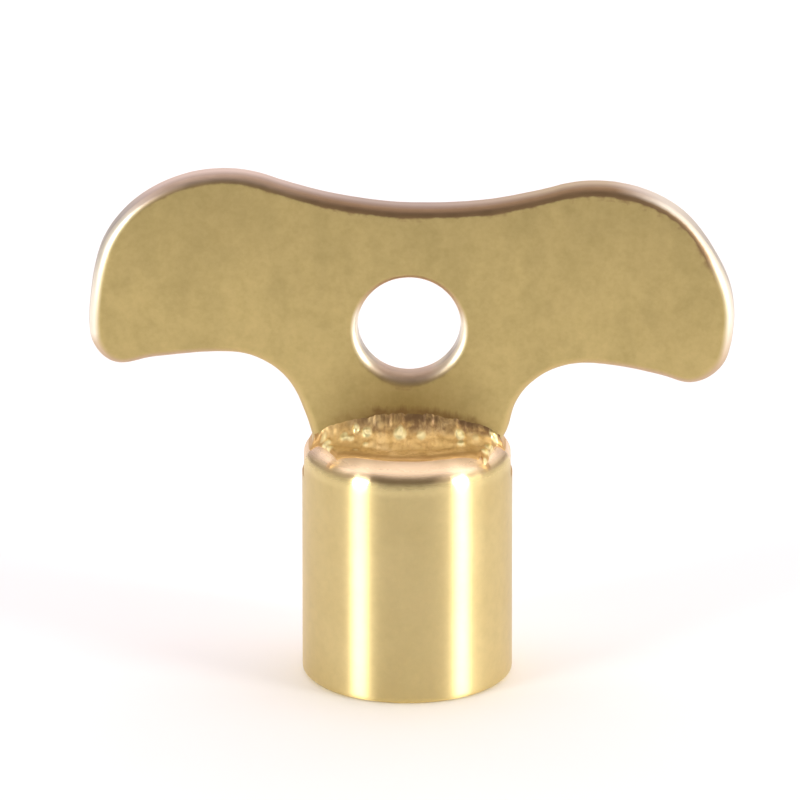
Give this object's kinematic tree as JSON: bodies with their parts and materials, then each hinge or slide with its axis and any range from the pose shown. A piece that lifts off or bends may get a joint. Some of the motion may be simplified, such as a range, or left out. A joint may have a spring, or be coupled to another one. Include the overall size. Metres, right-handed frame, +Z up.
{
  "type": "radiator bleed key",
  "caption": "Brass radiator bleed key: a flat butterfly handle with a key-ring hole, brazed across a round barrel that has a square socket in its end.",
  "frame": {"origin": "centre of the square socket's mouth, on the barrel's lower face; the key stands on this face", "axes": "+Z up the barrel from the socket mouth to the handle, +X along the handle's span to the right, +Y through the handle's thickness, away from the viewer"},
  "size_m": [0.0308, 0.01, 0.0251],
  "materials": {
    "plate_brass": "tumbled, with a fine vertical grain and softly rounded edges",
    "barrel_brass": "bright turned",
    "braze_brass": "glossy and lumpy, as it set"
  },
  "bodies": {
    "root": {"handle_plate": "plate_brass", "socket_barrel": "barrel_brass", "braze_filler": "braze_brass"}
  },
  "joints": []
}
